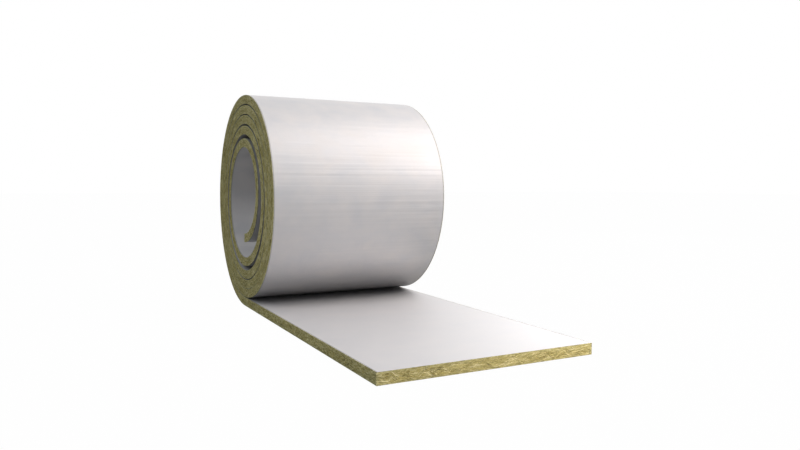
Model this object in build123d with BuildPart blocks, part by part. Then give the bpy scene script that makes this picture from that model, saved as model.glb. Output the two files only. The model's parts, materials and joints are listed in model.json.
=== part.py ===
"""Roll of faced stone wool insulation, partly unrolled.

One mat of stone wool, with a thin facing bonded to both sides, is wound in five turns about a
horizontal axis. The first stretch of the mat is laid out flat on the floor. From there
it runs back under the roll, up behind it and over the top, and ends as a free edge in the bore.

Frame: millimetres, +Z up. X runs along the axis of the roll, across the width of the mat.
The laid-out tail points to -Y. The origin is on the floor, in the middle of the outline.
"""

from build123d import *
import os

# Mat
mat_width = 600.0
mat_thickness = 30.0

# Winding
outer_radius = 365.0
tail_length = 1072.0

# Gaps between neighbouring turns, from the outside of the roll to the bore. Weight closes the
# gaps below the axis, so they are given in pairs: where the turns cross under the axis, then
# where they cross above it. The innermost turn springs inwards to its free end.
turn_gaps = [2.0, 4.0, 1.0, 3.5, 3.5, 6.0, 14.5, 13.5, 53.0]

# The outline runs from the end of the tail to the back of the roll, and its middle is Y = 0.
axis_y = (tail_length - outer_radius) / 2
tail_end_y = axis_y - tail_length


def half_turns():
    """Radius and centre height of the outer face for each half turn, from the tail inwards.

    The coil is a chain of half circles, behind the axis and in front of it by turns. Each is
    tangent to the next right under or right over the axis, so the mat keeps its thickness.
    """
    turns = [(outer_radius, outer_radius)]
    for index, gap in enumerate(turn_gaps):
        radius, height = turns[-1]
        smaller = radius - (mat_thickness + gap) / 2
        lift = radius - smaller if index % 2 == 0 else smaller - radius
        turns.append((smaller, height + lift))
    return turns


with BuildPart() as wool_mat:
    with BuildSketch(Plane.YZ.offset(-mat_width / 2)):
        turns = half_turns()
        end_z = turns[-1][1] - turns[-1][0]
        with BuildLine():
            for depth in (0, mat_thickness):
                Line((tail_end_y, depth), (axis_y, depth))
                for index, (radius, height) in enumerate(turns):
                    behind = index % 2 == 0
                    CenterArc(
                        (axis_y, height),
                        radius - depth,
                        start_angle=-90 if behind else 90,
                        arc_size=180,
                    )
            Line((tail_end_y, 0), (tail_end_y, mat_thickness))
            Line((axis_y, end_z), (axis_y, end_z + mat_thickness))
        make_face()
    extrude(amount=mat_width)

wool_mat.part.label = "wool_mat"

os.makedirs("parts", exist_ok=True)
export_step(wool_mat.part, "parts/wool_mat.step")
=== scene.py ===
# %% [markdown]
# # A roll of faced stone wool
#
# The object is one long mat of stone wool, wound into an open coil, with its outer stretch laid
# out flat in front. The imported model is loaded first, because it fixes where everything is. All
# later pieces are made in metres in the same frame, so nothing has to be fitted afterwards.

import json
import math
import random

import bmesh
import bpy
from mathutils import Matrix, Vector, noise

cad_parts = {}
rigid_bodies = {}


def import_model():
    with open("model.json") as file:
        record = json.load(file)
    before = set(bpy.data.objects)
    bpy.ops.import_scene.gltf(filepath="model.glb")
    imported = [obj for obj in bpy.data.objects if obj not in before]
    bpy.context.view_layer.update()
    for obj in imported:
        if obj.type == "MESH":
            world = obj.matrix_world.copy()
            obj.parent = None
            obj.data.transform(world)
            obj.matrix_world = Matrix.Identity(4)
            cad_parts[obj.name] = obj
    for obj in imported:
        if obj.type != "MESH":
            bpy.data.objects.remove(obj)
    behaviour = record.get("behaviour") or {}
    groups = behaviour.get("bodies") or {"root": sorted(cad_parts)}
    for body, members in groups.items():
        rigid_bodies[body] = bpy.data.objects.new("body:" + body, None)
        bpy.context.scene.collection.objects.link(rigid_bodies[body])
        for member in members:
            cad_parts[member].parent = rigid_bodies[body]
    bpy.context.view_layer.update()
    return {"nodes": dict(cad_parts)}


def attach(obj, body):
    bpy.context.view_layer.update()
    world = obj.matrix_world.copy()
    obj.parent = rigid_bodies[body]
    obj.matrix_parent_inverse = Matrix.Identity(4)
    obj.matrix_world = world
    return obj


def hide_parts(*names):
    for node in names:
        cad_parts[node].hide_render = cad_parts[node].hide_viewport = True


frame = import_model()
print("Nodes of the packed model:", list(frame["nodes"]))

# %% [markdown]
# ## Camera
#
# The view is from the left and in front, a little above the middle of the roll, so the wound
# end and the long front of the roll both show. A lens of about 31 mm on a 36 mm sensor gives the
# mild perspective that makes the tail widen towards the eye. The camera could be aimed with a
# constraint, but three plain angles are easier to check and to change.

# %% Set up the camera
eye = (-0.91155, -2.0037, 0.42745)
look_down, turn_right, lean = 0.0600, 0.4785, 0.0028

camera_data = bpy.data.cameras.new("camera")
camera_data.lens = 30.74
camera_data.sensor_width = 36
camera = bpy.data.objects.new("camera", camera_data)
camera.location = eye
camera.rotation_euler = (
    Matrix.Rotation(-turn_right, 3, "Z")
    @ Matrix.Rotation(math.pi / 2 - look_down, 3, "X")
    @ Matrix.Rotation(lean, 3, "Z")
).to_euler()
bpy.context.collection.objects.link(camera)
bpy.context.scene.camera = camera
bpy.context.scene.view_settings.view_transform = "Standard"
print("Camera turned right by", round(math.degrees(turn_right), 1), "degrees")

# %% [markdown]
# ## The winding
#
# The mat keeps its thickness all the way round, so the coil is drawn as a chain of half circles.
# Each one is a little smaller than the last, and its centre moves so that the two meet smoothly
# over or under the axis. A true spiral would look much the same, but half circles can be spun
# exactly, one after the other, with the same operator.

# %% Sizes of the mat and its half turns
mat_width = 0.600
half_width = mat_width / 2
mat_thickness = 0.030
middle = mat_thickness / 2
outer_radius = 0.365
tail_length = 1.072
turn_gaps = [0.002, 0.004, 0.001, 0.0035, 0.0035, 0.006, 0.0145, 0.0135, 0.053]

axis_y = (tail_length - outer_radius) / 2
tail_end_y = axis_y - tail_length

half_turns = [(outer_radius, outer_radius)]
for index, gap in enumerate(turn_gaps):
    radius, height = half_turns[-1]
    smaller = radius - (mat_thickness + gap) / 2
    lift = radius - smaller if index % 2 == 0 else smaller - radius
    half_turns.append((smaller, height + lift))

turn_lengths = [math.pi * (radius - middle) for radius, height in half_turns]
mat_length = tail_length + sum(turn_lengths)
print("Half turns:", len(half_turns), "Length of the mat:", round(mat_length, 3), "m")

# %% [markdown]
# ## One strip, spun ten times
#
# Wool and facings are all strips that follow the same winding at different depths. A strip could
# be a curve with a bevel, but then its faces would carry no record of where they are in the mat.
# Here every stretch starts from a small upright grid. Its outline is pulled along the floor for
# the tail, and spun by half a turn for the coil. The stretches are welded into one closed strip.
#
# Each vertex is also given its place in the flat, unrolled mat: how far along, how far across
# and how deep. The materials read that place, so fibres and creases follow the winding.

# %% Write the place in the unrolled mat
def mark_place(mesh, start, turn):
    """Store the place in the flat mat on the vertices of the tail, or of one half turn."""
    place = mesh.verts.layers.float_vector.new("mat_place")
    for vertex in mesh.verts:
        x, y, z = vertex.co
        if turn is None:
            vertex[place] = (y - tail_end_y, x, z)
            continue
        radius, height = half_turns[turn]
        sideways = abs(y - axis_y)
        upwards = height - z if turn % 2 == 0 else z - height
        turned = math.atan2(sideways, upwards)
        depth = radius - math.hypot(sideways, upwards)
        vertex[place] = (start + turned * (radius - middle), x, depth)


# %% Make the outline that a stretch starts from
def upright_grid(mesh, centre, width, height, columns, rows):
    """Add a grid that stands across the mat."""
    turned = Matrix.Rotation(math.pi / 2, 4, "X")
    shape = Matrix.Translation(centre) @ turned @ Matrix.Diagonal((width, height, 1, 1))
    bmesh.ops.create_grid(mesh, x_segments=columns, y_segments=rows, size=0.5, matrix=shape)


def start_outline(mesh, low, high, width, rows, turn):
    """Make a closed upright outline at the end of the tail, or where a half turn starts."""
    if turn is None:
        y, foot, sign = tail_end_y, 0, 1
    else:
        radius, height = half_turns[turn]
        sign = 1 if turn % 2 == 0 else -1
        y, foot = axis_y, height - sign * radius
    upright_grid(mesh, (0, y, foot + sign * (low + high) / 2), width, high - low, 1, rows)
    rim = [edge for edge in mesh.edges if edge.is_boundary]
    inside = [edge for edge in mesh.edges if not edge.is_boundary]
    bmesh.ops.delete(mesh, geom=mesh.faces[:], context="FACES_ONLY")
    bmesh.ops.delete(mesh, geom=inside, context="EDGES")
    return rim


# %% Pull or spin the outline into a stretch
def pull_edges(mesh, edges):
    """Extrude loose edges, and return the new vertices and the edges between them."""
    made = bmesh.ops.extrude_edge_only(mesh, edges=edges)["geom"]
    fresh = [item for item in made if isinstance(item, bmesh.types.BMVert)]
    ends = set(fresh)
    new_edges = [item for item in made if isinstance(item, bmesh.types.BMEdge)]
    front = [edge for edge in new_edges if set(edge.verts) <= ends]
    return fresh, front


def pull_tail(mesh, rim, spacing):
    """Pull the outline along the floor, from the end of the tail to under the roll."""
    steps = round(tail_length / spacing)
    for step in range(steps):
        fresh, rim = pull_edges(mesh, rim)
        bmesh.ops.translate(mesh, vec=(0, tail_length / steps, 0), verts=fresh)


def spin_half_turn(mesh, rim, turn, spacing):
    """Spin the outline by half a turn."""
    radius, height = half_turns[turn]
    bmesh.ops.spin(
        mesh,
        geom=mesh.verts[:] + rim,
        cent=(0, axis_y, height),
        axis=(1, 0, 0),
        angle=math.pi,
        steps=round(math.pi * radius / spacing),
    )


# %% [markdown]
# The operators that extrude and spin edges give the right shape, but the order of its faces, and
# which way round each one goes, change from one run to the next. The order would matter later,
# because the loose strands are scattered face by face. So the vertices are put in order by where
# they are, and edges and faces by the numbers of their vertices. Which way round the faces go is
# put right afterwards, when their normals are recalculated.

# %% Put vertices, edges and faces in a fixed order
def put_in_order(items, order):
    """Sort vertices, edges or faces into the order of a list."""
    rank = {item: number for number, item in enumerate(order)}
    items.sort(key=lambda item: rank[item])
    items.index_update()


def vertex_numbers(item):
    """List the numbers of the vertices of an edge or a face."""
    return [vertex.index for vertex in item.verts]


def fix_order(mesh):
    """Sort the vertices by place, and rebuild the same faces, each from its lowest vertex on."""
    put_in_order(mesh.verts, sorted(mesh.verts, key=lambda vertex: vertex.co[:]))
    corners = []
    for face in mesh.faces:
        numbers = vertex_numbers(face)
        first = numbers.index(min(numbers))
        onwards = numbers[first:] + numbers[:first]
        backwards = onwards[:1] + onwards[:0:-1]
        corners.append(min(onwards, backwards))
    bmesh.ops.delete(mesh, geom=mesh.edges[:] + mesh.faces[:], context="EDGES_FACES")
    mesh.verts.ensure_lookup_table()
    rebuilt = []
    for numbers in sorted(corners):
        rebuilt.append(mesh.faces.new([mesh.verts[number] for number in numbers]))
    put_in_order(mesh.faces, rebuilt)
    put_in_order(mesh.edges, sorted(mesh.edges, key=lambda edge: sorted(vertex_numbers(edge))))


# %% Close the two cut ends
touching = 1e-5
weld_distance = 1e-6


def close_end(whole, y, foot, low, high, width, rows, columns):
    """Weld a grid into the open outline at one end of the strip."""
    rim = [edge for edge in whole.edges if edge.is_boundary]
    open_edges = [edge for edge in rim if abs(edge.verts[0].co.y - y) < touching]
    long_edges = [edge for edge in open_edges if edge.calc_length() > width / 2]
    if columns > 1:
        bmesh.ops.subdivide_edges(whole, edges=long_edges, cuts=columns - 1)
    known = len(whole.verts)
    upright_grid(whole, (0, y, foot + (low + high) / 2), width, high - low, columns, rows)
    along = 0 if abs(y - tail_end_y) < touching else mat_length
    layer = whole.verts.layers.float_vector["mat_place"]
    whole.verts.ensure_lookup_table()
    for vertex in whole.verts[known:]:
        vertex[layer] = (along, vertex.co.x, vertex.co.z - foot)
    level = [vertex for vertex in whole.verts if abs(vertex.co.y - y) < touching]
    spare = 0.001
    lowest, highest = foot - spare, foot + mat_thickness + spare
    near = [vertex for vertex in level if lowest < vertex.co.z < highest]
    bmesh.ops.remove_doubles(whole, verts=near, dist=weld_distance)


# %% Make a whole wound strip
def add_stretch(whole, stretch):
    """Move the faces of one stretch into the whole strip."""
    carrier = bpy.data.meshes.new("stretch")
    stretch.to_mesh(carrier)
    stretch.free()
    whole.from_mesh(carrier)
    bpy.data.meshes.remove(carrier)


def wound_strip(name, low, high, width, rows, spacing, end_columns=1):
    """Build the strip between two depths, with a grid of faces on each of its cut ends."""
    whole = bmesh.new()
    whole.verts.layers.float_vector.new("mat_place")
    start = 0
    for turn in [None] + list(range(len(half_turns))):
        stretch = bmesh.new()
        rim = start_outline(stretch, low, high, width, rows, turn)
        if turn is None:
            pull_tail(stretch, rim, spacing)
        else:
            spin_half_turn(stretch, rim, turn, spacing)
        mark_place(stretch, start, turn)
        start += tail_length if turn is None else turn_lengths[turn]
        fix_order(stretch)
        add_stretch(whole, stretch)

    bmesh.ops.remove_doubles(whole, verts=whole.verts, dist=weld_distance)
    close_end(whole, tail_end_y, 0, low, high, width, rows, end_columns)
    last_radius, last_height = half_turns[-1]
    close_end(whole, axis_y, last_height - last_radius, low, high, width, rows, end_columns)
    bmesh.ops.recalc_face_normals(whole, faces=whole.faces)
    data = bpy.data.meshes.new(name)
    whole.to_mesh(data)
    whole.free()
    piece = bpy.data.objects.new(name, data)
    bpy.context.collection.objects.link(piece)
    print(name, "has", len(data.polygons), "faces, and its flat length is", round(start, 3), "m")
    return piece


# %% [markdown]
# ## Wool and facings
#
# The knife that cuts the mat leaves the wool a little fluffed up, past the edges of its facings.
# So the wool has the full width, and the two facings, real sheets of 0.3 mm, stop just short of
# it. Their edges then don't draw bright lines between the turns.

# %% Make the wool and its two facings
skin = 0.0003
edge_inset = 0.0008
facing_width = mat_width - 2 * edge_inset
wool_depths = (skin / 2, mat_thickness - skin / 2)
wool = wound_strip("wool", *wool_depths, mat_width, 8, 0.008, end_columns=120)
outer_facing = wound_strip("outer_facing", 0, skin, facing_width, 1, 0.012)
inner_depths = (mat_thickness - skin, mat_thickness)
inner_facing = wound_strip("inner_facing", *inner_depths, facing_width, 1, 0.012)

# %% [markdown]
# ## Torn relief on the cut faces
#
# A blade tears wool more than it cuts it, so the cut faces are never flat. Every vertex inside a
# cut face is pushed in or out by noise that is read in the unrolled mat. The noise is stretched
# along the mat, because the fibres lie in layers. Vertices at the facings stay where they are.
# A displacement modifier would need a mask for that, so a short loop does it.

# %% Roughen the cut faces of the wool
torn_relief = 0.0012
still_margin = 0.002
waves = (40, 40, 260)
finer_waves, finer_share = 2.3, 0.5


def roughen(piece, amount):
    """Push the vertices inside the cut faces in or out by stretched noise."""
    mesh = bmesh.new()
    mesh.from_mesh(piece.data)
    layer = mesh.verts.layers.float_vector["mat_place"]
    moved = 0
    for vertex in mesh.verts:
        along, across, depth = vertex[layer]
        if not still_margin < depth < mat_thickness - still_margin:
            continue
        at = Vector((along * waves[0], across * waves[1], depth * waves[2]))
        push = amount * (noise.noise(at) + finer_share * noise.noise(at * finer_waves))
        if abs(abs(across) - half_width) < touching:
            vertex.co.x += push
        if along < touching:
            vertex.co.y += push
        elif along > mat_length - touching:
            vertex.co.y -= push
        moved += 1
    mesh.to_mesh(piece.data)
    mesh.free()
    print("Roughened", moved, "vertices of", piece.name)


roughen(wool, torn_relief)

# %% [markdown]
# ## Smooth faces, and what the pieces stand for
#
# Half turns made of short flat faces would show as bands. Smooth shading hides them, and edges
# sharper than 40 degrees, such as the cut corners, stay crisp. All three strips move with the
# model's one body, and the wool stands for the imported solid.

# %% Smooth the strips and tie them to the model
sharp_angle = math.radians(40)
for piece in (wool, outer_facing, inner_facing):
    for face in piece.data.polygons:
        face.use_smooth = True
    piece.data.set_sharp_from_angle(angle=sharp_angle)
    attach(piece, "root")
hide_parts("wool_mat")
print("The wool stands for the node wool_mat")

# %% [markdown]
# ## Helpers for materials
#
# Materials are built from nodes in code. One helper adds a node, sets its options, and joins or
# fills its inputs. Small ones on top of it do a sum, stretch a range of values, or make a colour
# ramp. Two more start a node group with named sockets, for effects that more than one finish
# uses, and a material. Written out each time, the same nodes would take many more lines.

# %% Helpers for nodes
def node(tree, kind, inputs=None, **options):
    """Add a node, set its options, and link or fill the inputs given by name or number."""
    made = tree.nodes.new(kind)
    for name, value in options.items():
        setattr(made, name, value)
    for name, value in (inputs or {}).items():
        if isinstance(value, bpy.types.NodeSocket):
            tree.links.new(value, made.inputs[name])
        else:
            made.inputs[name].default_value = value
    return made


def calculate(tree, operation, *values):
    """Do a sum on outputs or numbers."""
    return node(tree, "ShaderNodeMath", dict(enumerate(values)), operation=operation).outputs[0]


def remap(tree, value, start, end, low, high):
    """Turn the values from start to end into low to high, and hold them there outside."""
    inputs = {"Value": value, "From Min": start, "From Max": end, "To Min": low, "To Max": high}
    return node(tree, "ShaderNodeMapRange", inputs).outputs[0]


def color_ramp(tree, value, stops):
    """Turn a value into a colour, by stops of a position and a colour each."""
    ramp = node(tree, "ShaderNodeValToRGB", {"Fac": value})
    elements = ramp.color_ramp.elements
    first, *between, last = stops
    elements[0].position, elements[0].color = first
    elements[1].position, elements[1].color = last
    for position, color in between:
        elements.new(position).color = color
    return ramp.outputs["Color"]


# %% Helpers for groups and materials
def new_group(name, inputs, outputs):
    """Start a node group with named sockets, and return it with its two end nodes."""
    group = bpy.data.node_groups.new(name, "ShaderNodeTree")
    for title, kind, value in inputs:
        socket = group.interface.new_socket(name=title, in_out="INPUT", socket_type=kind)
        if value is not None:
            socket.default_value = value
    for title, kind in outputs:
        group.interface.new_socket(name=title, in_out="OUTPUT", socket_type=kind)
    return group, group.nodes.new("NodeGroupInput"), group.nodes.new("NodeGroupOutput")


def new_material(name):
    """Start a material, and return it with its node tree and its main shader."""
    made = bpy.data.materials.new(name)
    made.use_nodes = True
    return made, made.node_tree, made.node_tree.nodes["Principled BSDF"]


# %% [markdown]
# ## Shared effect: stretched, wavy noise
#
# Wool strands and foil creases are both long in one direction and fine in another. One group
# serves both: it bends the place by slow noise, stretches it by its own scale on each axis, and
# gives back fine noise with more or less contrast. A wave texture would repeat too evenly.

# %% Node group for drawn-out noise
drawn_noise, enter, leave = new_group(
    "drawn_noise",
    [
        ("Place", "NodeSocketVector", None),
        ("Stretch", "NodeSocketVector", (60, 60, 700)),
        ("Wave Scale", "NodeSocketFloat", 25.0),
        ("Wave Amount", "NodeSocketFloat", 0.008),
        ("Detail", "NodeSocketFloat", 3.0),
        ("Low", "NodeSocketFloat", 0.35),
        ("High", "NodeSocketFloat", 0.65),
    ],
    [("Value", "NodeSocketFloat")],
)
given = enter.outputs


def vector_step(operation, inputs):
    """Add a step on vectors to the group."""
    return node(drawn_noise, "ShaderNodeVectorMath", inputs, operation=operation).outputs[0]


slow_inputs = {"Vector": given["Place"], "Scale": given["Wave Scale"], "Detail": 1.0}
slow = node(drawn_noise, "ShaderNodeTexNoise", slow_inputs)
centred = vector_step("SUBTRACT", {0: slow.outputs["Color"], 1: (0.5, 0.5, 0.5)})
bend = vector_step("SCALE", {0: centred, "Scale": given["Wave Amount"]})
bent_place = vector_step("ADD", {0: given["Place"], 1: bend})
drawn_place = vector_step("MULTIPLY", {0: bent_place, 1: given["Stretch"]})
fine_inputs = {"Vector": drawn_place, "Scale": 1.0, "Detail": given["Detail"]}
fine = node(drawn_noise, "ShaderNodeTexNoise", fine_inputs)
contrast = remap(drawn_noise, fine.outputs["Fac"], given["Low"], given["High"], 0.0, 1.0)
drawn_noise.links.new(contrast, leave.inputs["Value"])
print("Group", drawn_noise.name, "has", len(drawn_noise.nodes), "nodes")


# %% Place the group in a material
def drawn_out(tree, place, stretch, wave_scale, wave_amount, detail, low, high):
    """Put the drawn-out noise into a material with its own values."""
    inputs = {
        "Place": place,
        "Stretch": stretch,
        "Wave Scale": wave_scale,
        "Wave Amount": wave_amount,
        "Detail": detail,
        "Low": low,
        "High": high,
    }
    return node(tree, "ShaderNodeGroup", inputs, node_tree=drawn_noise).outputs["Value"]


# %% [markdown]
# ## Finish: stone wool
#
# Stone wool is olive straw. On a cut it shows light strands over dark gaps, wavy because the
# layers were crimped as they were made. Two sets of strands cross at their own scales, and slow
# patches make parts of the mat darker. The colour of the strands is partly painted light: the
# dark gaps are painted shade in the hollows between strands, and the palest tops are partly a
# painted highlight. The bump follows the same strands, so that the painted light and the relief
# agree. The wool is dull: hardly any gloss, and nearly full roughness.

# %% Material for the wool
wool_material, tree, shader = new_material("stone_wool")
shader.inputs["Specular IOR Level"].default_value = 0.12
shader.inputs["Roughness"].default_value = 0.95

place = node(tree, "ShaderNodeAttribute", attribute_name="mat_place").outputs["Vector"]
long_strands = drawn_out(tree, place, (75, 75, 480), 32.0, 0.016, 2.0, 0.36, 0.64)
fine_strands = drawn_out(tree, place, (210, 210, 900), 70.0, 0.012, 3.0, 0.33, 0.67)
patches = drawn_out(tree, place, (14, 14, 40), 10.0, 0.02, 2.0, 0.30, 0.70)
crossed = node(tree, "ShaderNodeMix", {0: 0.45, 2: long_strands, 3: fine_strands}).outputs[0]
patch_share = remap(tree, patches, 0.0, 1.0, 0.0, 0.18)
toned = calculate(tree, "MULTIPLY_ADD", crossed, 0.76, patch_share)
# Painted light: the dark gap colour is painted shade between the strands, and the pale straw is
# partly a painted highlight on their tops.
painted_gap_shade = (0.17, 0.135, 0.05, 1)
plain_straw = (0.655, 0.60, 0.27, 1)
pale_straw_and_highlight = (0.96, 0.89, 0.54, 1)
straw = color_ramp(tree, toned, [(0.05, painted_gap_shade), (0.5, plain_straw), (0.95, pale_straw_and_highlight)])
tree.links.new(straw, shader.inputs["Base Color"])
relief = node(tree, "ShaderNodeBump", {"Strength": 0.9, "Distance": 0.0016, "Height": crossed})
tree.links.new(relief.outputs[0], shader.inputs["Normal"])
wool.data.materials.append(wool_material)
print("Material", wool_material.name, "has", len(tree.nodes), "nodes")

# %% [markdown]
# ## Loose strands on the cut faces
#
# On the real mat the cut faces are a felt of strands, a few centimetres long and about a
# millimetre thick, that lie roughly along the layers. A bump map can't cast their small shadows,
# so some of them are real. Five strands are modelled first, each a small triangle that is pulled
# along a wavy line. Hair curves could do this too, but a strand with few faces is lighter.

# %% Model five strands
longest_strand = 0.022
strand_steps = 4
flattened = 0.75


def make_strand(name, seed):
    """Pull a small triangle along a wavy line, and close it to a point at both ends."""
    random.seed(seed)
    length = random.uniform(0.013, longest_strand)
    thickness = random.uniform(0.0005, 0.0008)
    bend_rate = random.uniform(-0.6, 0.6)
    mesh = bmesh.new()
    at = Vector((-length / 2, 0, 0))
    upright = Matrix.Translation(at) @ Matrix.Rotation(math.pi / 2, 4, "Y")
    circle = bmesh.ops.create_circle(mesh, segments=3, radius=thickness / 2, matrix=upright)
    edges = mesh.edges[:]
    heading = -1.5 * bend_rate / 2
    for step in range(strand_steps):
        fresh, edges = pull_edges(mesh, edges)
        direction = Vector((math.cos(heading), math.sin(heading), random.uniform(-0.02, 0.02)))
        move = direction * length / strand_steps
        bmesh.ops.translate(mesh, vec=move, verts=fresh)
        at = at + move
        heading += bend_rate / 2 + random.uniform(-0.15, 0.15)
        grow = 1.9 if step == 0 else 0.9
        bmesh.ops.scale(mesh, vec=(1, grow, grow), space=Matrix.Translation(-at), verts=fresh)
    for tip in (circle["verts"], fresh):
        centre = sum((vertex.co for vertex in tip), Vector()) / len(tip)
        bmesh.ops.pointmerge(mesh, verts=tip, merge_co=centre)
    bmesh.ops.scale(mesh, vec=(1, 1, flattened), verts=mesh.verts)
    fix_order(mesh)
    bmesh.ops.recalc_face_normals(mesh, faces=mesh.faces)
    data = bpy.data.meshes.new(name)
    mesh.to_mesh(data)
    mesh.free()
    return bpy.data.objects.new(name, data)


strand_set = bpy.data.collections.new("strands")
for seed in range(5):
    strand_set.objects.link(make_strand(f"strand_{seed}", seed + 3))

# %% [markdown]
# ## The faces that carry the strands
#
# The strands are laid on a copy of the cut faces alone. Each face of the copy keeps the
# direction in which the mat runs there: along the winding on the two long sides, and across the
# mat on its two ends. Each vertex keeps its room, the distance to the nearest edge along that
# direction and across it. Near an edge the strands are laid shorter and straighter, so that the
# mat keeps its clean cut corners. A vertex group could hold the room, but only one number of it.

# %% Copy the cut faces and note their direction
near_enough = 1e-4


def direction_of_run(face, places, on_side):
    """Find the way in which the mat runs on a face."""
    key = [place.x if on_side else place.y for place in places]
    mean = sum(key) / len(key)
    pulls = [vertex.co * (value - mean) for vertex, value in zip(face.verts, key)]
    return sum(pulls, Vector()).normalized()


def cut_faces(name, wanted):
    """Copy the wool's faces that pass a test on the places of their corners."""
    mesh = bmesh.new()
    mesh.from_mesh(wool.data)
    layer = mesh.verts.layers.float_vector["mat_place"]
    run = mesh.faces.layers.float_vector.new("run")
    room = mesh.verts.layers.float_vector.new("room")
    unwanted = [face for face in mesh.faces if not all(wanted(v[layer]) for v in face.verts)]
    bmesh.ops.delete(mesh, geom=unwanted, context="FACES")
    for face in mesh.faces:
        places = [vertex[layer].copy() for vertex in face.verts]
        alongs = [place.x for place in places]
        on_side = max(alongs) - min(alongs) > near_enough
        face[run] = direction_of_run(face, places, on_side)
        for vertex in face.verts:
            along, across, depth = vertex[layer]
            ahead = min(along, mat_length - along) if on_side else half_width - abs(across)
            vertex[room] = (ahead, min(depth, mat_thickness - depth), 0)
    print(name, "has", len(mesh.faces), "faces for strands")
    data = bpy.data.meshes.new(name)
    mesh.to_mesh(data)
    mesh.free()
    return bpy.data.objects.new(name, data)


near_side = cut_faces("near_side", lambda place: place.y < -half_width + near_enough)
far_side = cut_faces("far_side", lambda place: place.y > half_width - near_enough)
tail_end = cut_faces("tail_end", lambda place: place.x < near_enough)
inner_end = cut_faces("inner_end", lambda place: place.x > mat_length - near_enough)

# %% [markdown]
# ## How the strands are laid
#
# Geometry Nodes scatters points on those faces and puts one of the five strands on each. In
# crimped wool neighbours swirl together, so a strand's turn comes mostly from slow noise, and a
# little from chance. Its size and its tone vary in the same way. Laying them in a Python loop
# would work too, but a node tree scatters thousands in a moment.

# %% Read what the cut faces carry
def read_vector(tree, name):
    """Read a vector that the cut faces carry."""
    named = {"Name": name}
    made = node(tree, "GeometryNodeInputNamedAttribute", named, data_type="FLOAT_VECTOR")
    return made.outputs["Attribute"]


def own_number(tree, low, high, seed):
    """Give every strand a random number of its own."""
    inputs = {2: low, 3: high, "Seed": seed}
    return node(tree, "FunctionNodeRandomValue", inputs, data_type="FLOAT").outputs[1]


def slow_noise(tree, stretch):
    """Read slow noise at the strand's place in the unrolled mat."""
    spot = read_vector(tree, "mat_place")
    drawn = node(tree, "ShaderNodeVectorMath", {0: spot, 1: stretch}, operation="MULTIPLY")
    inputs = {"Vector": drawn.outputs[0], "Scale": 1.0, "Detail": 1.0}
    return node(tree, "ShaderNodeTexNoise", inputs).outputs[0]


# %% Which way a strand lies
most_swirl = 0.95


def strand_rotation(tree, normal, seed, scale):
    """Lay a strand along the run, then turn it, less near the long edges of the cut."""
    laid = node(
        tree,
        "FunctionNodeAxesToRotation",
        {"Primary Axis": normal, "Secondary Axis": read_vector(tree, "run")},
        primary_axis="Z",
        secondary_axis="X",
    )
    swirl = remap(tree, slow_noise(tree, (34, 34, 70)), 0.3, 0.7, -1.0, 1.0)
    free_turn = calculate(tree, "ADD", swirl, own_number(tree, -0.5, 0.5, seed + 1))
    held = node(tree, "ShaderNodeClamp", {"Value": free_turn, "Min": -1.0, "Max": 1.0})
    room = node(tree, "ShaderNodeSeparateXYZ", {0: read_vector(tree, "room")})
    most_turn = remap(tree, room.outputs["Y"], 0.002, 0.013, 0.0, most_swirl / scale)
    turn = calculate(tree, "MULTIPLY", held.outputs[0], most_turn)
    tilt = own_number(tree, -0.03, 0.03, seed + 2)
    angles = node(tree, "ShaderNodeCombineXYZ", {"Y": tilt, "Z": turn})
    own = node(tree, "FunctionNodeEulerToRotation", {0: angles.outputs[0]})
    both = {0: laid.outputs[0], 1: own.outputs[0]}
    return node(tree, "FunctionNodeRotateRotation", both, rotation_space="LOCAL").outputs[0]


# %% How large and how light a strand is
smallest_size, largest_size = 0.6, 1.3
strand_reach = longest_strand / 2 * largest_size


def strand_size(tree, seed, scale):
    """Give a strand a size of its own, and less where it has little room."""
    room = node(tree, "ShaderNodeSeparateXYZ", {0: read_vector(tree, "room")})
    own = own_number(tree, smallest_size * scale, largest_size * scale, seed + 3)
    ahead = remap(tree, room.outputs["X"], 0.0, strand_reach * scale, 0.01, 1.0)
    across = remap(tree, room.outputs["Y"], 0.0, 0.007, 0.1, 1.0)
    return calculate(tree, "MULTIPLY", own, calculate(tree, "MINIMUM", ahead, across))


def strand_tone(tree, seed):
    """Give a strand a tone from 0 to 1, partly its own and partly shared with neighbours."""
    own = own_number(tree, 0.0, 0.72, seed + 4)
    shared = remap(tree, slow_noise(tree, (38, 38, 110)), 0.35, 0.65, 0.0, 0.28)
    return calculate(tree, "ADD", own, shared)


# %% Node tree that lays the strands
def strand_nodes(density, seed, scale):
    """Build a Geometry Nodes tree that lays strands on a mesh and makes them one mesh."""
    tree = bpy.data.node_groups.new("lay_strands", "GeometryNodeTree")
    for title, way in (("Faces", "INPUT"), ("Strands", "OUTPUT")):
        tree.interface.new_socket(name=title, in_out=way, socket_type="NodeSocketGeometry")
    enter = tree.nodes.new("NodeGroupInput")
    leave = tree.nodes.new("NodeGroupOutput")
    scattered = {"Mesh": enter.outputs[0], "Density": density, "Seed": seed}
    points = node(tree, "GeometryNodeDistributePointsOnFaces", scattered)
    chosen = {"Collection": strand_set, "Separate Children": True}
    shapes = node(tree, "GeometryNodeCollectionInfo", chosen)
    laid = {
        "Points": points.outputs["Points"],
        "Instance": shapes.outputs[0],
        "Pick Instance": True,
        "Rotation": strand_rotation(tree, points.outputs["Normal"], seed, scale),
        "Scale": strand_size(tree, seed, scale),
    }
    copies = node(tree, "GeometryNodeInstanceOnPoints", laid)
    toned = node(
        tree,
        "GeometryNodeStoreNamedAttribute",
        {"Geometry": copies.outputs[0], "Name": "tone", "Value": strand_tone(tree, seed)},
        data_type="FLOAT",
        domain="INSTANCE",
    )
    real = node(tree, "GeometryNodeRealizeInstances", {0: toned.outputs[0]})
    tree.links.new(real.outputs[0], leave.inputs[0])
    return tree


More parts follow.
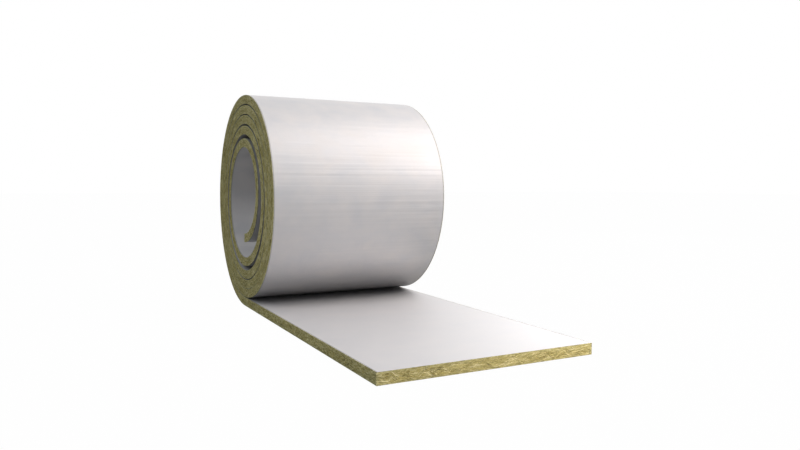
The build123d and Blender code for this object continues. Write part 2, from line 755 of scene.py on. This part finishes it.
# %% Lay the strands and keep them as plain meshes
def lay_strands(name, faces, density, seed, scale, highest=math.inf):
    """Run the node tree on some cut faces and keep the result, pressed flat at the facings."""
    bpy.context.collection.objects.link(faces)
    layer = faces.modifiers.new("strands", "NODES")
    layer.node_group = strand_nodes(density, seed, scale)
    bpy.context.view_layer.update()
    finished = faces.evaluated_get(bpy.context.evaluated_depsgraph_get())
    data = bpy.data.meshes.new_from_object(finished)
    data.name = name
    for vertex in data.vertices:
        vertex.co.z = min(max(vertex.co.z, skin), highest)
    piece = bpy.data.objects.new(name, data)
    bpy.data.objects.remove(faces)
    bpy.context.collection.objects.link(piece)
    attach(piece, "root")
    data.calc_loop_triangles()
    print(name, "has", len(data.loop_triangles), "triangles")
    return piece


under_facing = mat_thickness - skin
strand_pieces = [
    lay_strands("near_side_strands", near_side, 36000, 11, 1.1),
    lay_strands("far_side_strands", far_side, 36000, 12, 1.1),
    lay_strands("tail_end_strands", tail_end, 125000, 13, 1.3, highest=under_facing),
    lay_strands("inner_end_strands", inner_end, 110000, 14, 1.0),
]
for modelled in list(strand_set.objects):
    bpy.data.objects.remove(modelled)
bpy.data.collections.remove(strand_set)

# %% [markdown]
# ## Finish: the loose strands
#
# The strands are the same stone as the rest of the wool, but each one has its own tone: a few
# nearly black, most olive straw, some pale. The tones are partly painted light: the nearly black
# ones are painted shade between strands, and the pale ones a painted highlight for strands that
# catch the light. The tone was stored with each strand as it was laid, so one material can read
# it. Five materials in turn would do the same with far fewer tones.

# %% Material for the strands
strand_material, tree, shader = new_material("wool_strands")
shader.inputs["Roughness"].default_value = 0.85
shader.inputs["Specular IOR Level"].default_value = 0.2

tone = node(tree, "ShaderNodeAttribute", attribute_name="tone").outputs["Fac"]
# The darkest tones are painted shade, and the palest tones a painted highlight.
strand_tones = [
    (0.0, (0.09, 0.07, 0.03, 1)),
    (0.14, (0.33, 0.27, 0.09, 1)),
    (0.6, (0.62, 0.54, 0.205, 1)),
    (1.0, (1.0, 0.92, 0.56, 1)),
]
tree.links.new(color_ramp(tree, tone, strand_tones), shader.inputs["Base Color"])
for piece in strand_pieces:
    piece.data.materials.clear()
    piece.data.materials.append(strand_material)
print("Material", strand_material.name, "is on", len(strand_pieces), "pieces")

# %% [markdown]
# ## Finish: silvery facing
#
# The facing is a thin laminate with a soft silver sheen, not a mirror. It is stiff, so it can't
# follow the wool exactly: round the roll it takes fine creases straight across the mat, and
# between them slow hollows. All of this is noise from the shared group, read in the unrolled
# mat. Object coordinates wouldn't follow the winding.

# %% Noise on the facing
foil_material, tree, shader = new_material("silver_facing")
place = node(tree, "ShaderNodeAttribute", attribute_name="mat_place").outputs["Vector"]
spot = node(tree, "ShaderNodeSeparateXYZ", {0: place})
along = spot.outputs["X"]
creases = drawn_out(tree, place, (80, 0.9, 5), 5.0, 0.0012, 4.0, 0.36, 0.64)
crease_places = drawn_out(tree, place, (13, 1.6, 5), 4.0, 0.03, 2.0, 0.32, 0.68)
hollows = drawn_out(tree, place, (11, 7, 5), 5.0, 0.03, 1.0, 0.2, 0.8)
clouds = drawn_out(tree, place, (14, 10, 5), 6.0, 0.08, 3.0, 0.3, 0.7)
print("Nodes so far:", len(tree.nodes))

# %% [markdown]
# The noise isn't the same all along the mat. The flat tail isn't bent, so creases and hollows
# fade there, and from the middle of the front downwards the creases fade too. Three more masks
# darken the sheet's colour. One makes it darker along its two side edges. The other two are
# painted shade: the turns deep in the bore are darkened because little light reaches them, and
# the sheet is darkened in narrow wedges, such as the one under the roll, where shade falls. The
# Ambient Occlusion node finds such wedges. Masks painted as images would do this as well, but
# they are harder to change.

# %% Masks along and across the facing
front_middle = tail_length + 1.5 * math.pi * (outer_radius - middle)
bent = remap(tree, along, tail_length - 0.2, tail_length + 0.2, 0.3, 1.0)
upper_front = remap(tree, along, front_middle, front_middle + 0.3, 1.0, 0.3)
from_middle = calculate(tree, "ABSOLUTE", spot.outputs["Y"])
# This mask makes the colour darker along the sheet's two side edges.
darker_side_edges = remap(tree, from_middle, half_width - 0.005, half_width - 0.002, 1.0, 0.6)
# Painted shade: the turns deep in the bore are darkened, because little light reaches them.
painted_bore_shade = remap(tree, along, mat_length - 2.4, mat_length - 1.4, 1.0, 0.8)
# Painted shade: the colour is darkened in narrow wedges, such as the one under the roll.
open_share = node(tree, "ShaderNodeAmbientOcclusion", {"Distance": 0.32}).outputs["AO"]
painted_wedge_shade = remap(tree, open_share, 0.0, 0.5, 0.5, 1.0)
print("The outer turn faces the front", round(front_middle, 3), "m along the mat")

# %% [markdown]
# A faint cloud varies the roughness and breaks up the highlight, as handling does on the real
# sheet. It also moves the colour between a cool and a warm silver, and the warm patches are a
# painted highlight, standing in for the warm reflection of the lamp. On the flat tail it settles
# to one even value.

# %% Colour and gloss of the facing
tail_cloud = 0.6
cloud = node(tree, "ShaderNodeMix", {0: bent, 2: tail_cloud, 3: clouds}, data_type="FLOAT")
cool_silver = (0.667, 0.669, 0.688, 1)
# The warm silver is partly painted highlight: it stands in for the warm reflection of the lamp.
warm_highlight_silver = (0.752, 0.733, 0.728, 1)
two_silvers = {0: cloud.outputs[0], 6: cool_silver, 7: warm_highlight_silver}
silver = node(tree, "ShaderNodeMix", two_silvers, data_type="RGBA").outputs[2]
# The painted shade and the darker side edges scale the silver colour.
painted_bore_and_wedge_shade = calculate(tree, "MULTIPLY", painted_wedge_shade, painted_bore_shade)
painted_shade_and_edges = calculate(tree, "MULTIPLY", painted_bore_and_wedge_shade, darker_side_edges)
darkened = node(tree, "ShaderNodeVectorMath", {0: silver, "Scale": painted_shade_and_edges}, operation="SCALE")
tree.links.new(darkened.outputs[0], shader.inputs["Base Color"])
glossiest, dullest = 0.45, 0.59
sheen = remap(tree, cloud.outputs[0], 0.0, 1.0, glossiest, dullest)
tree.links.new(sheen, shader.inputs["Roughness"])
shader.inputs["Metallic"].default_value = 0.35
print("Roughness of the facing:", glossiest, "to", dullest)

# %% [markdown]
# Creases and hollows are bump only. They are fractions of a millimetre deep, far less than the
# mat's thickness, and cutting them into the mesh would take millions of faces.

# %% Creases and hollows of the facing
hollow_height = calculate(tree, "MULTIPLY", hollows, bent)
deep_inputs = {"Strength": 1.0, "Distance": 0.0004, "Height": hollow_height}
deep = node(tree, "ShaderNodeBump", deep_inputs).outputs[0]
crease_share = remap(tree, crease_places, 0.0, 1.0, 0.35, 1.0)
creased = calculate(tree, "MULTIPLY", bent, upper_front)
crease_level = calculate(tree, "MULTIPLY", crease_share, creased)
crease_height = calculate(tree, "MULTIPLY", creases, crease_level)
lined_inputs = {"Strength": 1.0, "Distance": 0.00052, "Height": crease_height, "Normal": deep}
lined = node(tree, "ShaderNodeBump", lined_inputs)
tree.links.new(lined.outputs[0], shader.inputs["Normal"])
for piece in (outer_facing, inner_facing):
    piece.data.materials.append(foil_material)
print("Material", foil_material.name, "has", len(tree.nodes), "nodes")

# %% [markdown]
# ## Floor
#
# The photograph has a pure white surround. The floor glows plain white to the camera, while for
# the light that reaches the object it is a matte grey, so it lights the object from below only
# a little, and in reflections it glows at three tenths. One part in a hundred of the matte stays
# in what the camera sees, which keeps a trace of the object's shadow. More light on a white
# floor would give a white surround too, but it would burn out the object.

# %% Helpers for the surround
def reflected_rays(tree, rays):
    """Tell which rays were reflected or passed through glass."""
    return calculate(tree, "MAXIMUM", rays["Is Glossy Ray"], rays["Is Transmission Ray"])


def mix_to_output(tree, share, first, second, kind):
    """Mix two shaders and send them to the output."""
    mixed = node(tree, "ShaderNodeMixShader", {0: share, 1: first, 2: second})
    surface = tree.nodes.new(kind)
    tree.links.new(mixed.outputs[0], surface.inputs["Surface"])


# %% Make the floor
floor_half_size = 30
just_below = Matrix.Translation((0, 0, -0.0005))
floor_mesh = bmesh.new()
bmesh.ops.create_grid(
    floor_mesh,
    x_segments=1,
    y_segments=1,
    size=floor_half_size,
    matrix=just_below,
)
floor_data = bpy.data.meshes.new("floor")
floor_mesh.to_mesh(floor_data)
floor_mesh.free()
floor = bpy.data.objects.new("floor", floor_data)
bpy.context.collection.objects.link(floor)
print("The floor is", 2 * floor_half_size, "m wide")

# %% Material for the floor
glow_in_reflections, glow_to_camera = 0.3, 0.99
floor_material = bpy.data.materials.new("white_floor")
floor_material.use_nodes = True
tree = floor_material.node_tree
tree.nodes.clear()
rays = tree.nodes.new("ShaderNodeLightPath").outputs
reflected = calculate(tree, "MULTIPLY", reflected_rays(tree, rays), glow_in_reflections)
seen = calculate(tree, "MULTIPLY", rays["Is Camera Ray"], glow_to_camera)
glowing = calculate(tree, "MAXIMUM", reflected, seen)
matte = node(tree, "ShaderNodeBsdfDiffuse", {"Color": (0.43, 0.43, 0.43, 1)}).outputs[0]
glow = node(tree, "ShaderNodeEmission", {"Color": (1, 1, 1, 1), "Strength": 1.0}).outputs[0]
mix_to_output(tree, glowing, matte, glow, "ShaderNodeOutputMaterial")
floor.data.materials.append(floor_material)
print("Material", floor_material.name, "has", len(tree.nodes), "nodes")

# %% [markdown]
# ## World
#
# The world is the white paper of a studio. The camera and the silver see it as plain white. As a
# light it is much weaker, faintly blue, and brightest overhead, so that the top of the roll is
# lighter than its sides. An image of a studio would do this too, but it needs a file.

# %% Make the world
world = bpy.data.worlds.new("studio")
bpy.context.scene.world = world
world.use_nodes = True
tree = world.node_tree
tree.nodes.clear()
rays = tree.nodes.new("ShaderNodeLightPath").outputs
white_rays = calculate(tree, "MAXIMUM", rays["Is Camera Ray"], reflected_rays(tree, rays))
direction = node(tree, "ShaderNodeTexCoord").outputs["Generated"]
up = node(tree, "ShaderNodeSeparateXYZ", {0: direction}).outputs["Z"]
level = remap(tree, up, 0.0, 0.9, 0.175, 0.55)
faint_blue = {"Color": (0.93, 0.985, 1.05, 1), "Strength": level}
soft_light = node(tree, "ShaderNodeBackground", faint_blue).outputs[0]
plain_white = {"Color": (1, 1, 1, 1), "Strength": 1.0}
white = node(tree, "ShaderNodeBackground", plain_white).outputs[0]
mix_to_output(tree, white_rays, soft_light, white, "ShaderNodeOutputWorld")
print("World", world.name, "has", len(tree.nodes), "nodes")

# %% [markdown]
# ## Lamps
#
# Three soft lamps light everything: a large one over the roll, one behind it on the right and a
# smaller one in front on the right. Bright silver next to dull wool is hard to light with the
# same lamps. So two low lamps reach only the wool, and a narrow one reaches only the inner
# facing, to light the bore. This is called light linking: a lamp is given a collection,
# and lights nothing else. Flags between lamp and object do the same in a real studio.

# %% Helper for the lamps
def softbox(name, place, aim, size, watts, color=(1, 1, 1), spread=180, only=None):
    """Add a square area lamp that points at a spot, and may light one collection only."""
    data = bpy.data.lights.new(name, "AREA")
    data.size = size
    data.energy = watts
    data.color = color
    data.spread = math.radians(spread)
    lamp = bpy.data.objects.new(name, data)
    lamp.location = place
    lamp.rotation_euler = (Vector(aim) - Vector(place)).to_track_quat("-Z", "Y").to_euler()
    if only is not None:
        lamp.light_linking.receiver_collection = only
    bpy.context.collection.objects.link(lamp)
    print("Lamp", name, "gives", watts, "W")


def lit_together(name, pieces):
    """Make a collection of pieces for a lamp to light."""
    lit = bpy.data.collections.new(name)
    for piece in pieces:
        lit.objects.link(piece)
    return lit


# %% Set up the lamps
warm = (1.0, 0.905, 0.85)
wool_pieces = lit_together("wool_pieces", [wool] + strand_pieces)
inner_sheet = lit_together("inner_sheet", [inner_facing])
softbox("overhead", (1.9, -1.1, 3.1), (0.1, 0.1, 0.3), 2.6, 52, warm)
softbox("back_right", (3.4, 2.2, 1.5), (0.1, -0.3, 0.2), 2.2, 32)
softbox("right", (1.5, -0.75, 1.2), (0.3, -0.1, 0.45), 0.7, 12, warm)
softbox(
    "low_front",
    (1.05, -1.6, 0.14),
    (0.15, -0.72, 0.0),
    0.6,
    2.9,
    warm,
    spread=70,
    only=wool_pieces,
)
softbox("low_left", (-1.5, -1.2, 0.12), (-0.3, -0.2, 0.1), 0.6, 0.8, only=wool_pieces)
softbox(
    "bore_light",
    (-1.5, -0.85, 1.0),
    (-0.22, 0.34, 0.28),
    0.12,
    0.14,
    spread=14,
    only=inner_sheet,
)
